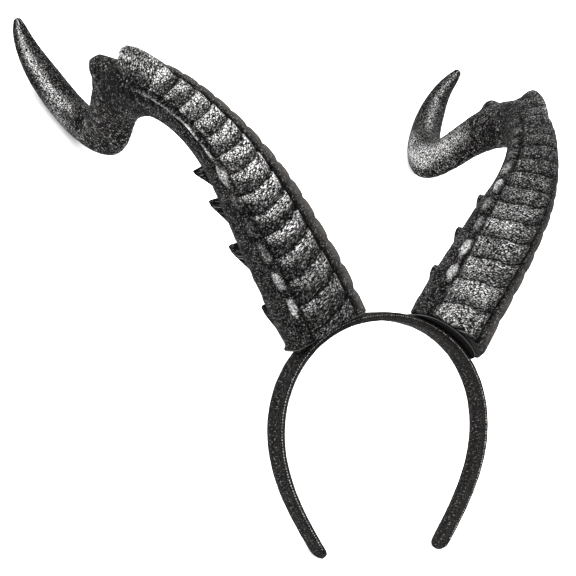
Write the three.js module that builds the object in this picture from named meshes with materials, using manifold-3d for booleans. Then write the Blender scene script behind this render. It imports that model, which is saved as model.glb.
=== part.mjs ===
// Dragon horns headband: a fabric-covered head band carrying two foam horns of mirrored outline,
// each on a thin pad. Millimetres. Built in a head frame (X across the head, Y to the back,
// Z up), then laid down on its back so that the leg ends and both claws touch the floor.
import * as THREE from 'three';
import Module from 'manifold-3d';

const wasm = await Module();
wasm.setup();

// ---- driving dimensions -------------------------------------------------
const BAND_WIDTH = 12.4;        // front edge at Y = 0
const BAND_THICK = 4.4;         // over the crown
const BAND_THICK_END = 3.4;     // at the leg ends
const BAND_CENTRE_Z = 33.45;    // pole of the mid line
const BAND_TOP_R = 48.05;       // polar radius of the mid line at the crown
const BAND_R2 = 9.43;           // radius change with angle^2
const BAND_R4 = -1.84;          // radius change with angle^4
const BAND_R6 = 0.164;          // radius change with angle^6
const BAND_HALF_ANGLE = 2.695;  // rad, crown to leg end
const BAND_EDGE = 0.8;          // corner chamfer
const BAND_END_ROUND = 6.0;     // length of the rounded leg end
const BAND_STEPS = 56;

const GAP = 0.3;                // air between pieces
const PAD_THICK = 1.4;
const PAD_FRONT = -6.0;         // Y of the pad's front edge
const PAD_BACK = 15.5;          // Y of the pad's back edge
const PAD_IN = 16.5;            // reach along the base towards the crown
const PAD_OUT = 26.5;           // reach along the base towards the leg

const HORN_LEAN = THREE.MathUtils.degToRad(33);   // outward lean of the horn's plane
const HORN_ROOT_X = 37.0;       // where the horn's plane meets the band's mid line
const HORN_ROOT_Z = 73.8;
const BASE_TILT = THREE.MathUtils.degToRad(27.0); // tilt of the flat horn base, tangent to the band
const BACK_NARROW = 0.15;       // section narrows to the back by this share

// Sections of a horn, root to tip:
// back, rise = centre in the horn's plane; depth = half size in the plane;
// width = half size across; drift = sideways offset (negative is outward); square = section power
const HORN = [
  { back: 3.2,   rise: -14.0, depth: 14.2, width: 22.9, drift: -0.9, square: 2.7 },
  { back: 0.6,   rise: 23.0,  depth: 15.2, width: 22.3, drift: -0.3, square: 2.7 },
  { back: -1.0,  rise: 46.0,  depth: 15.5, width: 21.0, drift: -0.4, square: 2.7 },
  { back: -1.4,  rise: 68.5,  depth: 16.1, width: 19.2, drift: -0.5, square: 2.6 },
  { back: -0.9,  rise: 87.5,  depth: 16.4, width: 16.4, drift: -0.6, square: 2.5 },
  { back: 4.0,   rise: 106.2, depth: 16.2, width: 13.5, drift: -0.6, square: 2.4 },
  { back: 13.6,  rise: 123.8, depth: 14.9, width: 11.9, drift: -1.0, square: 2.3 },
  { back: 31.9,  rise: 141.3, depth: 14.1, width: 11.7, drift: -2.8, square: 2.2 },
  { back: 51.9,  rise: 147.5, depth: 15.0, width: 11.7, drift: -4.0, square: 2.1 },
  { back: 74.6,  rise: 145.6, depth: 15.2, width: 10.6, drift: -4.2, square: 2.0 },
  { back: 94.0,  rise: 135.9, depth: 14.6, width: 9.2,  drift: -4.4, square: 2.0 },
  { back: 112.5, rise: 129.6, depth: 13.6, width: 8.6,  drift: -4.7, square: 2.0 },
  { back: 129.5, rise: 137.6, depth: 12.2, width: 9.0,  drift: -4.7, square: 2.0 },
  { back: 141.4, rise: 156.0, depth: 10.4, width: 9.0,  drift: -4.4, square: 2.0 },
  { back: 147.0, rise: 176.4, depth: 8.0,  width: 7.7,  drift: -4.3, square: 2.0 },
  { back: 146.0, rise: 191.2, depth: 5.5,  width: 5.4,  drift: -4.1, square: 2.0 },
  { back: 142.2, rise: 199.0, depth: 3.8,  width: 3.7,  drift: -4.0, square: 2.0 },
  { back: 140.9, rise: 201.2, depth: 2.8,  width: 2.8,  drift: -3.9, square: 2.0 },
  { back: 139.9, rise: 203.0, depth: 1.2,  width: 1.2,  drift: -3.8, square: 2.0 },
];

// Rings across the front face, distances along the centre line from the first section
const RING_FIRST = 23.0;
const RING_PITCH = 14.8;
const RING_SHRINK = 0.93;
const RING_LEAST = 9.3;         // the pitch shrinks no further than this
const RING_COUNT = 14;          // grooves
const RING_DEPTH = 1.5;

// Nodules in a row beside the rings, on the side the ringed face is turned to
const BEAD_FIRST = 39.0;
const BEAD_PITCH = 15.2;
const BEAD_SHRINK = 0.955;
const BEAD_COUNT = 10;
const BEAD_HEIGHT = 1.9;
const BEAD_WIDE = 9.0;          // degrees, half
const RIM_HEIGHT = 1.6;         // smooth scalloped rim on the other side

// The ringed face of each horn: turned = which side it faces (1 inward, -1 outward);
// at distances along the horn, beads = angle of the nodule row and rim = angle of the channel
// on the other side, both in degrees from the front; sweep = how far the grooves run towards
// the tip (mm) at angles from the rim side to the nodule side, and how much of it is left above
const FACE = {
  left: {
    turned: -1, along: [20, 40, 60, 84, 98, 130, 170],
    beads: [45, 45, 48, 53, 62, 65, 66], rim: [30, 28, 23, 21, 20, 17, 16],
    at: [-120, -40, -22, -5, 13, 30, 50, 90, 150], sweep: [0, 6.5, 4.6, 1.6, 0, 0.2, 1.2, 2, 0], left: 0.8,
  },
  right: {
    turned: 1, along: [20, 40, 60, 84, 98, 130, 170],
    beads: [57, 59, 66, 75, 85, 90, 90], rim: [24, 27, 31, 29, 30, 34, 36],
    at: [-120, -40, -25, -5, 10, 30, 50, 90, 150], sweep: [0, 16, 13, 8, 5, 1.7, 0, 0.5, 0], left: 0.55,
  },
};

// Thorns: along = where the sharp end stands, run = length of the ramp leading up to it,
// round = angle from the front centre (positive is inward), height above the skin, thick = across,
// crest = share of the width that the top edge keeps
const THORNS = [
  { along: 181, run: 22, round: 0,    height: 8.5, thick: 17, crest: 0.16 },
  { along: 209.5, run: 19, round: 0,  height: 9.0, thick: 16, crest: 0.2 },
  { along: 43,  run: 18, round: 140,  height: 5.0, thick: 5,  crest: 0.45 },
  { along: 70,  run: 18, round: 140,  height: 5.0, thick: 5,  crest: 0.45 },
  { along: 94,  run: 16, round: 140,  height: 4.5, thick: 4.5, crest: 0.45 },
  { along: 36,  run: 22, round: -140, height: 6.0, thick: 5,  crest: 0.45 },
  { along: 72,  run: 20, round: -140, height: 7.5, thick: 5,  crest: 0.45 },
  { along: 98,  run: 18, round: -140, height: 7.0, thick: 5,  crest: 0.45 },
  { along: 120, run: 15, round: -140, height: 6.5, thick: 4.5, crest: 0.45 },
];

// ---- small helpers ------------------------------------------------------
const rad = THREE.MathUtils.degToRad;
const smooth = THREE.MathUtils.smoothstep;
const lerp = THREE.MathUtils.lerp;

// straight lines through (x, y), held level beyond the ends
function table(x, y, at) {
  if (at <= x[0]) return y[0];
  for (let i = 1; i < x.length; i++) if (at <= x[i]) return lerp(y[i - 1], y[i], (at - x[i - 1]) / (x[i] - x[i - 1]));
  return y[y.length - 1];
}

// natural cubic spline through (x, y): returns { value, slope }
function spline(x, y) {
  const n = x.length, m = new Array(n).fill(0), c = new Array(n).fill(0), d = new Array(n).fill(0);
  for (let i = 1; i < n - 1; i++) {
    const h0 = x[i] - x[i - 1], h1 = x[i + 1] - x[i];
    const p = 2 * (h0 + h1) - h0 * c[i - 1];
    c[i] = h1 / p;
    d[i] = (6 * ((y[i + 1] - y[i]) / h1 - (y[i] - y[i - 1]) / h0) - h0 * d[i - 1]) / p;
  }
  for (let i = n - 2; i > 0; i--) m[i] = d[i] - c[i] * m[i + 1];
  return (u) => {
    let i = 0;
    while (i < n - 2 && u > x[i + 1]) i++;
    const h = x[i + 1] - x[i], a = (x[i + 1] - u) / h, b = (u - x[i]) / h;
    return {
      value: a * y[i] + b * y[i + 1] + ((a ** 3 - a) * m[i] + (b ** 3 - b) * m[i + 1]) * h * h / 6,
      slope: (y[i + 1] - y[i]) / h + ((1 - 3 * a * a) * m[i] + (3 * b * b - 1) * m[i + 1]) * h / 6,
    };
  };
}

// closed solid from rings of equal length, capped with fans at both ends
function loft(rings) {
  const pos = [], tri = [], n = rings[0].length;
  for (const ring of rings) for (const p of ring) pos.push(p.x, p.y, p.z);
  for (let i = 0; i + 1 < rings.length; i++) {
    for (let j = 0; j < n; j++) {
      const k = (j + 1) % n, a = i * n + j, b = i * n + k;
      tri.push(a, b, a + n, b, b + n, a + n);
    }
  }
  for (const [r, flip] of [[0, true], [rings.length - 1, false]]) {
    const mid = new THREE.Vector3();
    for (const p of rings[r]) mid.addScaledVector(p, 1 / n);
    const c = pos.length / 3;
    pos.push(mid.x, mid.y, mid.z);
    for (let j = 0; j < n; j++) {
      const a = r * n + j, b = r * n + (j + 1) % n;
      if (flip) tri.push(c, b, a); else tri.push(c, a, b);
    }
  }
  return solid(pos, tri);
}

function solid(pos, tri) {
  let vol = 0;
  for (let i = 0; i < tri.length; i += 3) {
    const [a, b, c] = [tri[i], tri[i + 1], tri[i + 2]].map((k) => new THREE.Vector3(pos[3 * k], pos[3 * k + 1], pos[3 * k + 2]));
    vol += a.dot(b.cross(c));
  }
  if (vol < 0) for (let i = 0; i < tri.length; i += 3) [tri[i], tri[i + 1]] = [tri[i + 1], tri[i]];
  return new wasm.Manifold(new wasm.Mesh({
    numProp: 3, vertProperties: new Float32Array(pos), triVerts: new Uint32Array(tri),
  }));
}

// ---- band ---------------------------------------------------------------
// mid line of the band at an angle from the crown: point and outward direction in X, Z
function bandAt(angle) {
  const r = BAND_TOP_R + BAND_R2 * angle ** 2 + BAND_R4 * angle ** 4 + BAND_R6 * angle ** 6;
  const dr = 2 * BAND_R2 * angle + 4 * BAND_R4 * angle ** 3 + 6 * BAND_R6 * angle ** 5;
  const tx = dr * Math.sin(angle) + r * Math.cos(angle);
  const tz = dr * Math.cos(angle) - r * Math.sin(angle);
  const l = Math.hypot(tx, tz);
  return { x: r * Math.sin(angle), z: BAND_CENTRE_Z + r * Math.cos(angle), nx: -tz / l, nz: tx / l, pace: l };
}

function bandSolid() {
  const angles = [];
  const endAngle = BAND_END_ROUND / bandAt(BAND_HALF_ANGLE).pace;
  const ends = [1, 0.96, 0.85, 0.65, 0.35];
  for (const e of ends) angles.push(-BAND_HALF_ANGLE + endAngle * (1 - e));
  const inner = BAND_HALF_ANGLE - endAngle;
  for (let i = 0; i < BAND_STEPS; i++) angles.push(-inner + 2 * inner * i / (BAND_STEPS - 1));
  for (const e of [...ends].reverse()) angles.push(BAND_HALF_ANGLE - endAngle * (1 - e));
  const rings = angles.map((a) => {
    const b = bandAt(a);
    const e = Math.max(0, (Math.abs(a) - inner) / endAngle);
    const half = Math.max(0.25, Math.sqrt(Math.max(0, 1 - e * e))) * BAND_WIDTH / 2;
    const edge = Math.min(BAND_EDGE, half * 0.4);
    const t = lerp(BAND_THICK, BAND_THICK_END, smooth(Math.abs(a), 1.2, 2.6)) / 2;
    const shape = [
      [-half, -t + edge], [-half + edge, -t], [half - edge, -t], [half, -t + edge],
      [half, t - edge], [half - edge, t], [-half + edge, t], [-half, t - edge],
    ];
    return shape.map(([y, o]) => new THREE.Vector3(b.x + b.nx * o, BAND_WIDTH / 2 + y, b.z + b.nz * o));
  });
  return loft(rings);
}

// ---- pad ----------------------------------------------------------------
// flat base on the image-right side: the spot where it touches the band, its outward
// direction and the direction along it towards the leg, all in X, Z
function baseFrame() {
  let lo = 0, hi = 1.2;
  for (let i = 0; i < 40; i++) {
    const mid = (lo + hi) / 2, b = bandAt(mid);
    if (Math.atan2(b.nx, b.nz) < BASE_TILT) lo = mid; else hi = mid;
  }
  const b = bandAt(lo);
  return { x: b.x, z: b.z, nx: b.nx, nz: b.nz, ex: b.nz, ez: -b.nx };
}
const BASE = baseFrame();
const PAD_LOW = BAND_THICK / 2 + GAP;
const HORN_LOW = PAD_LOW + PAD_THICK + GAP;
const onBase = (e, y, o) => new THREE.Vector3(BASE.x + BASE.ex * e + BASE.nx * o, y, BASE.z + BASE.ez * e + BASE.nz * o);

function padSolid() {
  const steps = 14, rings = [];
  const midY = (PAD_FRONT + PAD_BACK) / 2, halfY = (PAD_BACK - PAD_FRONT) / 2;
  const midE = (PAD_OUT - PAD_IN) / 2, halfE = (PAD_OUT + PAD_IN) / 2;
  for (let i = 0; i <= steps; i++) {
    const e = -Math.cos(Math.PI * i / steps);
    const half = halfY * Math.max(0.3, (1 - Math.abs(e) ** 5) ** 0.5);
    const o0 = PAD_LOW, o1 = PAD_LOW + PAD_THICK, edge = 0.4;
    const shape = [
      [-half, o0 + edge], [-half + edge, o0], [half - edge, o0], [half, o0 + edge],
      [half, o1 - edge], [half - edge, o1], [-half + edge, o1], [-half, o1 - edge],
    ];
    rings.push(shape.map(([y, o]) => onBase(midE + e * halfE, midY + y, o)));
  }
  return loft(rings);
}

// everything below the horn's flat base on the image-left side
function belowBase() {
  const corner = [[-90, HORN_LOW], [90, HORN_LOW], [90, -90], [-90, -90]];
  const ring = (y) => corner.map(([e, o]) => { const p = onBase(e, y, o); p.x = -p.x; return p; });
  return loft([ring(-80), ring(240)]);
}

// ---- horn ---------------------------------------------------------------
const along = [0];
for (let i = 1; i < HORN.length; i++) {
  along.push(along[i - 1] + Math.hypot(HORN[i].back - HORN[i - 1].back, HORN[i].rise - HORN[i - 1].rise));
}
const LENGTH = along[along.length - 1];
const col = Object.fromEntries(Object.keys(HORN[0]).map((k) => [k, spline(along, HORN.map((r) => r[k]))]));

const grooves = [];
for (let i = 0, u = RING_FIRST, p = RING_PITCH; i < RING_COUNT; i++, u += p, p = Math.max(RING_LEAST, p * RING_SHRINK)) grooves.push(u);
const RING_END = grooves[grooves.length - 1];
const beads = [];
for (let i = 0, u = BEAD_FIRST, p = BEAD_PITCH; i < BEAD_COUNT; i++, u += p, p *= BEAD_SHRINK) beads.push({ u, half: p * 0.5 });

// how far a ring row is carried towards the tip at an angle round the face (degrees, + is the nodule side)
function sweep(face, v, deg) {
  const most = table(face.at, face.sweep, deg) * lerp(1, face.left, smooth(v, 80, 105));
  return most * smooth(v, 0, 22) * (1 - smooth(v, RING_END, RING_END + 34));
}

// how far the skin is lowered (groove, channel) or raised (nodule, rim) on ring row v at deg
function relief(face, v, deg) {
  const ringed = smooth(v, 6, 12) * (1 - smooth(v, RING_END - 1, RING_END + 6));
  if (ringed === 0) return 0;
  const bead = table(face.along, face.beads, v), rim = -table(face.along, face.rim, v);
  let k = grooves.findIndex((g) => g > v) - 1;
  if (v >= RING_END) k = RING_COUNT - 1;
  const g0 = k < 0 ? RING_FIRST - RING_PITCH : grooves[k];
  const g1 = k + 1 < RING_COUNT ? grooves[k + 1] : RING_END + RING_LEAST;
  const x = (v - g0) / (g1 - g0);
  const size = lerp(1, 0.65, smooth(v, 60, 170));
  const on = smooth(deg, rim - 1, rim + 6) * (1 - smooth(deg, bead - 14, bead - 6));
  const dip = (k < 0 && x < 0.5) ? 0 : Math.abs(2 * x - 1) ** 4;
  let out = -dip * on * RING_DEPTH;
  out -= 0.9 * Math.exp(-(((deg - rim) / 5) ** 2)) + 0.5 * Math.exp(-(((deg - bead + 11) / 4) ** 2));
  out += RIM_HEIGHT * (1 - 0.9 * dip) * Math.exp(-(((deg - rim + 24) / 13) ** 2));
  let knob = 0;
  for (const b of beads) knob = Math.max(knob, 1 - ((v - b.u) / b.half) ** 2 - ((deg - bead) / BEAD_WIDE) ** 2);
  out += BEAD_HEIGHT * Math.sqrt(Math.max(0, knob));
  return out * size * ringed;
}

// point on the skin of the image-left horn, in the head frame, `out` beyond the skin
function skin(u, angle, out = 0) {
  const r = {}, d = {};
  for (const k in col) { const s = col[k](u); r[k] = s.value; d[k] = s.slope; }
  const l = Math.hypot(d.back, d.rise);
  const fb = -d.rise / l, fr = d.back / l;                 // front direction in the plane
  const e = 2 / r.square, c = Math.cos(angle), s = Math.sin(angle);
  const cf = Math.sign(c) * Math.abs(c) ** e, sf = Math.sign(s) * Math.abs(s) ** e;
  let f = cf * r.depth, w = sf * r.width * (cf > 0 ? 1 : 1 + BACK_NARROW * cf);
  const gl = Math.hypot(c / r.depth, s / r.width);
  f += out * (c / r.depth) / gl;
  w += out * (s / r.width) / gl;
  return place(r.back + f * fb, r.rise + f * fr, w + r.drift);
}

// horn plane coordinates to the head frame (image-left horn, `side` positive is inward)
function place(back, rise, side) {
  const sl = Math.sin(HORN_LEAN), cl = Math.cos(HORN_LEAN);
  return new THREE.Vector3(-HORN_ROOT_X - rise * sl + side * cl, back, HORN_ROOT_Z + rise * cl + side * sl);
}

// angles of the points round a section (degrees, + is the nodule side), gathered at the channel and nodules
function sectionAngles(face, v) {
  const bead = table(face.along, face.beads, v), rim = -table(face.along, face.rim, v);
  const past = [[0.12, 0.3, 0.52, 0.76, 1], [0.15, 0.36, 0.6, 0.8]];
  return [
    rim - 24, rim - 10, rim, rim + 8, lerp(rim, bead, 0.3), lerp(rim, bead, 0.52), bead - 17, bead - 11, bead - 5, bead, bead + 8,
    ...past[0].map((x) => lerp(bead + 8, 180, x)), ...past[1].map((x) => lerp(180, 360 + rim - 24, x)),
  ];
}

// one horn in the image-left place; the image-right one is mirrored afterwards
function hornSolid(face) {
  let stations = [0, 4];
  let prev = RING_FIRST - RING_PITCH;
  for (const g of grooves) {
    for (const x of (prev < RING_FIRST ? [0.3, 0.75] : [0.24, 0.76])) stations.push(prev + x * (g - prev));
    stations.push(g);
    prev = g;
  }
  for (const b of beads) if (stations.every((u) => Math.abs(u - b.u) > 1.6)) stations.push(b.u);
  const rest = 22;
  for (let i = 1; i <= rest; i++) {
    const x = i / rest;
    stations.push(RING_END + (LENGTH - RING_END) * (x * 1.25 - 0.25 * x * x));
  }
  stations.sort((p, q) => p - q);
  let body = loft(stations.map((v) => sectionAngles(face, v).map((deg) => {
    const u = Math.min(LENGTH, v + sweep(face, v, deg > 180 ? deg - 360 : deg));
    return skin(u, rad(deg * face.turned), relief(face, v, deg > 180 ? deg - 360 : deg));
  })));
  for (const t of THORNS) body = body.add(thornSolid(t));
  return body.subtract(belowBase());
}

// ramp that rises towards the tip and ends in a blunt step
function thornSolid(t) {
  const rows = [
    { x: 0.0, out: -1.5, wide: 0.5 }, { x: 0.3, out: 0.3, wide: 0.85 },
    { x: 0.85, out: 0.92, wide: 1.0 }, { x: 1.0, out: 1.0, wide: 0.85 }, { x: 1.1, out: 0.5, wide: 0.7 },
    { x: 1.2, out: -1.5, wide: 0.55 },
  ];
  const rings = rows.map((q) => {
    const u = t.along - t.run * (1 - q.x);
    const r = Math.hypot(col.depth(u).value, col.width(u).value) / Math.SQRT2;
    const half = t.thick / 2 * q.wide / r;
    const top = q.out > 0 ? q.out * t.height : q.out, low = -4;
    return [[-half, low], [half, low], [half, top * 0.25], [half * t.crest, top], [-half * t.crest, top], [-half, top * 0.25]]
      .map(([a, o]) => skin(u, rad(t.round) + a, Math.min(Math.max(o, low), t.height)));
  });
  return loft(rings);
}

// ---- assembly -----------------------------------------------------------
function mirrored(m) {
  const mesh = m.getMesh(), pos = Array.from(mesh.vertProperties), tri = Array.from(mesh.triVerts);
  for (let i = 0; i < pos.length; i += 3) pos[i] = -pos[i];
  return solid(pos, tri);
}

const band = bandSolid();
const hornLeft = hornSolid(FACE.left);
const hornRight = mirrored(hornSolid(FACE.right));
const padRight = padSolid();
const pieces = {
  band, horn_left: hornLeft, horn_right: hornRight,
  horn_pad_left: mirrored(padRight), horn_pad_right: padRight,
};

const points = (m) => {
  const v = m.getMesh().vertProperties, out = [];
  for (let i = 0; i < v.length; i += 3) out.push([v[i + 1], v[i + 2]]);
  return out;
};

// tilt at which the leg ends and the claws touch the floor together
function restTilt() {
  const legs = points(band).filter(([, z]) => z < 0), claws = [...points(hornLeft), ...points(hornRight)];
  const low = (list, a) => Math.min(...list.map(([y, z]) => -y * Math.cos(a) + z * Math.sin(a)));
  let lo = rad(10), hi = rad(50);
  for (let i = 0; i < 50; i++) {
    const mid = (lo + hi) / 2;
    if (low(claws, mid) < low(legs, mid)) lo = mid; else hi = mid;
  }
  return (lo + hi) / 2;
}
const TILT = restTilt();
const lay = ([x, y, z]) => [x, y * Math.sin(TILT) + z * Math.cos(TILT), -y * Math.cos(TILT) + z * Math.sin(TILT)];

const COLORS = { band: 0x1b1b1e, horn_left: 0x4a4a4d, horn_right: 0x4a4a4d, horn_pad_left: 0x141416, horn_pad_right: 0x141416 };

const laid = {}, box = new THREE.Box3();
for (const [name, m] of Object.entries(pieces)) {
  const mesh = m.getMesh(), v = mesh.vertProperties, pos = new Float32Array(v.length);
  for (let i = 0; i < v.length; i += 3) {
    const p = lay([v[i], v[i + 1], v[i + 2]]);
    pos.set(p, i);
    box.expandByPoint(new THREE.Vector3(...p));
  }
  laid[name] = { pos, index: Array.from(mesh.triVerts) };
}
const centre = box.getCenter(new THREE.Vector3());

const group = new THREE.Group();
group.name = 'dragon_horns_headband';
for (const [name, { pos, index }] of Object.entries(laid)) {
  for (let i = 0; i < pos.length; i += 3) {
    pos[i] -= centre.x; pos[i + 1] -= centre.y; pos[i + 2] -= box.min.z;
  }
  const geometry = new THREE.BufferGeometry();
  geometry.setAttribute('position', new THREE.BufferAttribute(pos, 3));
  geometry.setIndex(index);
  geometry.computeVertexNormals();
  const mesh = new THREE.Mesh(geometry, new THREE.MeshStandardMaterial({ color: COLORS[name], roughness: 0.7 }));
  mesh.name = name;
  group.add(mesh);
}

export default group;
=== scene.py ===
"""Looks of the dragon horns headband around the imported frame. Metres, in the row frame.

The shapes are worked out in millimetres in a head frame (X across the head, Y to the back,
Z up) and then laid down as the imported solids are.
"""
import math

import bpy
import numpy as np
from mathutils import Matrix, Vector


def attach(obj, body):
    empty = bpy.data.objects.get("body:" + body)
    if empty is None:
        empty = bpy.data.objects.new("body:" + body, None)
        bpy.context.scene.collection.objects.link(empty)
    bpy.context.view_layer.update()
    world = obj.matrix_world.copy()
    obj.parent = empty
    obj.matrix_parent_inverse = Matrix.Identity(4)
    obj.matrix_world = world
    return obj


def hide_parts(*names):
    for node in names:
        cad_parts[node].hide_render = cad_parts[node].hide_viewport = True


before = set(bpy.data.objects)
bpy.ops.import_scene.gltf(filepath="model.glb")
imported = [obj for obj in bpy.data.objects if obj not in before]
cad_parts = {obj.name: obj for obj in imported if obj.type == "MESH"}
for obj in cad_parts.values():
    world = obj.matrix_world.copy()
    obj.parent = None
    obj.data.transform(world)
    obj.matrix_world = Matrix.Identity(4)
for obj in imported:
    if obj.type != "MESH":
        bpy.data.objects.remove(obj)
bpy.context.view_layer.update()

# ---- head frame to row frame ---------------------------------------------------------------
TILT = 0.5331980864842677
HEAD_Y, HEAD_Z = -88.50387170, -91.17656913
SIN, COS = math.sin(TILT), math.cos(TILT)


def laid_dir(v):
    v = np.asarray(v, float)
    return np.stack([v[..., 0], v[..., 1] * SIN + v[..., 2] * COS, -v[..., 1] * COS + v[..., 2] * SIN], -1)


def laid(p):
    return laid_dir(np.asarray(p, float) + (0.0, HEAD_Y, HEAD_Z)) / 1000.0


# ---- camera --------------------------------------------------------------------------------
CAM_TURN, CAM_RISE, CAM_ROLL = (math.radians(a) for a in (31.0019, -1.44812, 0.51098))
CAM_DIST, CAM_FOCUS = 764.993, 1528.718  # mm, pixels over a 576 pixel frame
CAM_AIM = np.array([-56.37596, 7.5, 95.0201])

look = np.array([math.sin(CAM_TURN) * math.cos(CAM_RISE), math.cos(CAM_TURN) * math.cos(CAM_RISE), -math.sin(CAM_RISE)])
right = np.array([math.cos(CAM_TURN), -math.sin(CAM_TURN), 0.0])
upward = np.array([math.sin(CAM_TURN) * math.sin(CAM_RISE), math.cos(CAM_TURN) * math.sin(CAM_RISE), math.cos(CAM_RISE)])
cam_x = math.cos(CAM_ROLL) * right + math.sin(CAM_ROLL) * upward
cam_y = -math.sin(CAM_ROLL) * right + math.cos(CAM_ROLL) * upward
cam_data = bpy.data.cameras.new("camera")
cam_data.sensor_fit = "HORIZONTAL"
cam_data.sensor_width = 36.0
cam_data.lens = 36.0 * CAM_FOCUS / 576.0
cam_data.clip_start, cam_data.clip_end = 0.02, 20.0
camera = bpy.data.objects.new("camera", cam_data)
bpy.context.scene.collection.objects.link(camera)
axes = np.stack([laid_dir(cam_x), laid_dir(cam_y), laid_dir(-look)], 1)
place = Matrix.Identity(4)
for i in range(3):
    for j in range(3):
        place[i][j] = axes[i, j]
    place[i][3] = laid(CAM_AIM - CAM_DIST * look)[i]
camera.matrix_world = place
bpy.context.scene.camera = camera


# ---- small tools ---------------------------------------------------------------------------
def smooth(x, lo, hi):
    t = np.clip((np.asarray(x, float) - lo) / (hi - lo), 0.0, 1.0)
    return t * t * (3 - 2 * t)


def bell(x, mid, wide):
    return np.exp(-(((np.asarray(x, float) - mid) / wide) ** 2))


class Spline:
    """Natural cubic spline; gives value and slope."""

    def __init__(self, x, y):
        x, y = np.asarray(x, float), np.asarray(y, float)
        n = len(x)
        a, r = np.eye(n), np.zeros(n)
        for i in range(1, n - 1):
            h0, h1 = x[i] - x[i - 1], x[i + 1] - x[i]
            a[i, i - 1 : i + 2] = h0, 2 * (h0 + h1), h1
            r[i] = 6 * ((y[i + 1] - y[i]) / h1 - (y[i] - y[i - 1]) / h0)
        self.x, self.y, self.m = x, y, np.linalg.solve(a, r)

    def __call__(self, u):
        x, y, m = self.x, self.y, self.m
        i = np.clip(np.searchsorted(x, u, side="right") - 1, 0, len(x) - 2)
        h = x[i + 1] - x[i]
        a, b = (x[i + 1] - u) / h, (u - x[i]) / h
        value = a * y[i] + b * y[i + 1] + ((a**3 - a) * m[i] + (b**3 - b) * m[i + 1]) * h * h / 6
        slope = (y[i + 1] - y[i]) / h + ((1 - 3 * a * a) * m[i] + (3 * b * b - 1) * m[i + 1]) * h / 6
        return value, slope


def lattice(ix, iy, iz, seed):
    """Repeatable number from 0 to 1 for each lattice point."""
    mask = np.int64(0xFFFFFFFF)
    h = (ix * np.int64(374761393) + iy * np.int64(668265263) + iz * np.int64(1440662683) + np.int64(seed * 69069 + 12345)) & mask
    h = ((h ^ (h >> np.int64(13))) * np.int64(1274126177)) & mask
    h = ((h ^ (h >> np.int64(15))) * np.int64(974711)) & mask
    return (h ^ (h >> np.int64(16))).astype(float) / float(0xFFFFFFFF)


def cloud(p, size, seed):
    """Smooth value noise from 0 to 1 at points p (..., 3), with lumps of that size."""
    q = np.asarray(p, float) / size
    base = np.floor(q).astype(np.int64)
    f = q - base
    f = f * f * (3 - 2 * f)
    total = np.zeros(q.shape[:-1])
    for dx in (0, 1):
        for dy in (0, 1):
            for dz in (0, 1):
                w = (f[..., 0] if dx else 1 - f[..., 0]) * (f[..., 1] if dy else 1 - f[..., 1]) * (f[..., 2] if dz else 1 - f[..., 2])
                total += w * lattice(base[..., 0] + dx, base[..., 1] + dy, base[..., 2] + dz, seed)
    return total


def spread(lo, hi, count, weight):
    """count values from lo to hi, closer together where weight is high."""
    x = np.linspace(lo, hi, 6000)
    w = weight(x)
    c = np.concatenate([[0], np.cumsum((w[1:] + w[:-1]) / 2)])
    return np.interp(np.linspace(0, c[-1], count), c, x)


def mesh_object(name, points, faces, fields=None, shade=True):
    """Object from head-frame points in mm, quads or triangles, and named per-point values."""
    me = bpy.data.meshes.new(name)
    me.from_pydata([tuple(p) for p in laid(points)], [], faces)
    me.update()
    for key, value in (fields or {}).items():
        value = np.asarray(value, np.float32)
        if value.ndim == 1:
            me.attributes.new(key, "FLOAT", "POINT").data.foreach_set("value", value)
        else:
            me.attributes.new(key, "FLOAT_VECTOR", "POINT").data.foreach_set("vector", value.ravel())
    if shade:
        me.polygons.foreach_set("use_smooth", np.ones(len(me.polygons), bool))
    ob = bpy.data.objects.new(name, me)
    bpy.context.scene.collection.objects.link(ob)
    return ob


def grid_faces(rows, cols, start=0):
    """Quads of a tube of rows by cols points, closed round the columns."""
    i = np.arange(rows - 1)[:, None] * cols
    j = np.arange(cols)[None, :]
    k = (j + 1) % cols
    f = np.stack([i + j, i + k, i + cols + k, i + cols + j], -1).reshape(-1, 4) + start
    return f.tolist()


def facing_out(points, faces):
    p = np.asarray(points)
    t = np.array([f[:3] for f in faces] + [[f[0], f[2], f[3]] for f in faces if len(f) == 4])
    vol = np.einsum("ij,ij->i", p[t[:, 0]], np.cross(p[t[:, 1]], p[t[:, 2]])).sum()
    return faces if vol > 0 else [list(reversed(f)) for f in faces]


# ---- band: the mid line --------------------------------------------------------------------
BAND_WIDTH, BAND_THICK, BAND_THICK_END, BAND_CENTRE_Z = 12.4, 4.4, 3.4, 33.45
BAND_R = (48.05, 9.43, -1.84, 0.164)  # polar radius: constant, angle^2, angle^4, angle^6
BAND_HALF_ANGLE = 2.695
BAND_END_ROUND = 6.0


def band_at(t):
    t = np.asarray(t, float)
    r = BAND_R[0] + BAND_R[1] * t**2 + BAND_R[2] * t**4 + BAND_R[3] * t**6
    dr = 2 * BAND_R[1] * t + 4 * BAND_R[2] * t**3 + 6 * BAND_R[3] * t**5
    tx, tz = dr * np.sin(t) + r * np.cos(t), dr * np.cos(t) - r * np.sin(t)
    l = np.hypot(tx, tz)
    return r * np.sin(t), BAND_CENTRE_Z + r * np.cos(t), -tz / l, tx / l, l


def band_half(t):
    return (BAND_THICK + (BAND_THICK_END - BAND_THICK) * smooth(np.abs(t), 1.2, 2.6)) / 2


# flat base that carries each horn, image-right side
BASE_TILT = math.radians(27.0)
lo_t, hi_t = 0.0, 1.2
for _ in range(50):
    mid_t = (lo_t + hi_t) / 2
    _x, _z, _nx, _nz, _l = band_at(mid_t)
    if math.atan2(_nx, _nz) < BASE_TILT:
        lo_t = mid_t
    else:
        hi_t = mid_t
BX, BZ, BNX, BNZ, _l = (float(v) for v in band_at(lo_t))
GAP, PAD_THICK = 0.3, 1.4
PAD_LOW = BAND_THICK / 2 + GAP
HORN_LOW = PAD_LOW + PAD_THICK + GAP

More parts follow.
